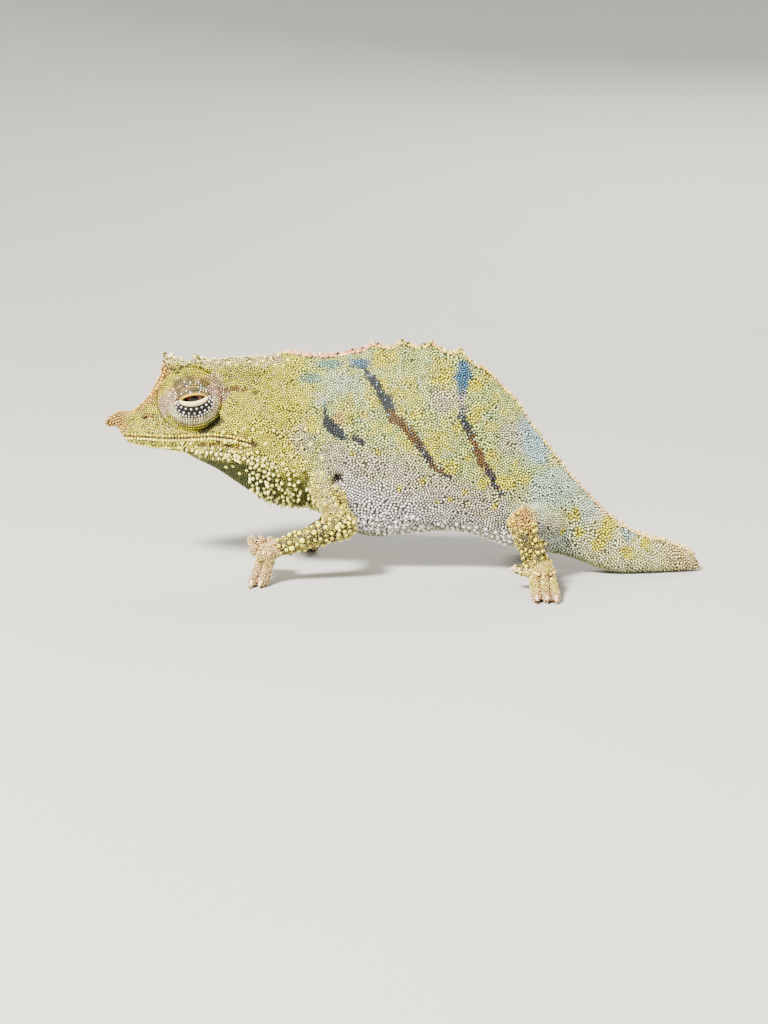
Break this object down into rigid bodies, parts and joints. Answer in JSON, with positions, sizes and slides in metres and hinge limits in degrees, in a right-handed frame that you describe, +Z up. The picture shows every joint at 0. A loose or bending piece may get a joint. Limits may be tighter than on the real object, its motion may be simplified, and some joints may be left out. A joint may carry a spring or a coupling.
{
  "type": "rhampholeon waynelotteri pygmy chameleon",
  "caption": "Pygmy chameleon with a short snout horn, brow peaks, bulging eye turrets and a scalloped back, standing on its gripping feet with its stubby tail laid down.",
  "frame": {"origin": "on the floor under the middle of the whole animal", "axes": "+Z up, the head points to -X and the tail to +X, the animal's left side is -Y"},
  "size_m": [0.0642, 0.0274, 0.0246],
  "materials": {
    "head_skin": "fine yellow-olive granules, satin, cream along the brow and crown",
    "horn_skin": "tan granules, satin",
    "turret_skin": "pinkish grey-brown granules in rings round the lids",
    "eye": "wet dark brown",
    "neck_skin": "yellow-olive granules with turquoise patches",
    "torso_skin": "sage and blue-grey granules, yellow blotches, two dark streaks, lilac-white belly",
    "tail_skin": "pale turquoise and cream granules with yellow patches",
    "limb_skin": "olive-yellow granules with pale round tubercles",
    "foot_skin": "pinkish cream pads with pale claws"
  },
  "bodies": {
    "root": {"head": "head_skin", "lower_jaw": "head_skin", "snout_horn": "horn_skin", "eye_turret_left": "turret_skin", "eye_turret_right": "turret_skin", "eye_left": "eye", "eye_right": "eye", "neck": "neck_skin", "torso": "torso_skin", "tail_root": "tail_skin", "tail_end": "tail_skin", "upper_arm_left": "limb_skin", "forearm_left": "limb_skin", "hand_left": "foot_skin", "upper_arm_right": "limb_skin", "forearm_right": "limb_skin", "hand_right": "foot_skin", "thigh_left": "limb_skin", "shank_left": "limb_skin", "foot_left": "foot_skin", "thigh_right": "limb_skin", "shank_right": "limb_skin", "foot_right": "foot_skin"}
  },
  "joints": []
}
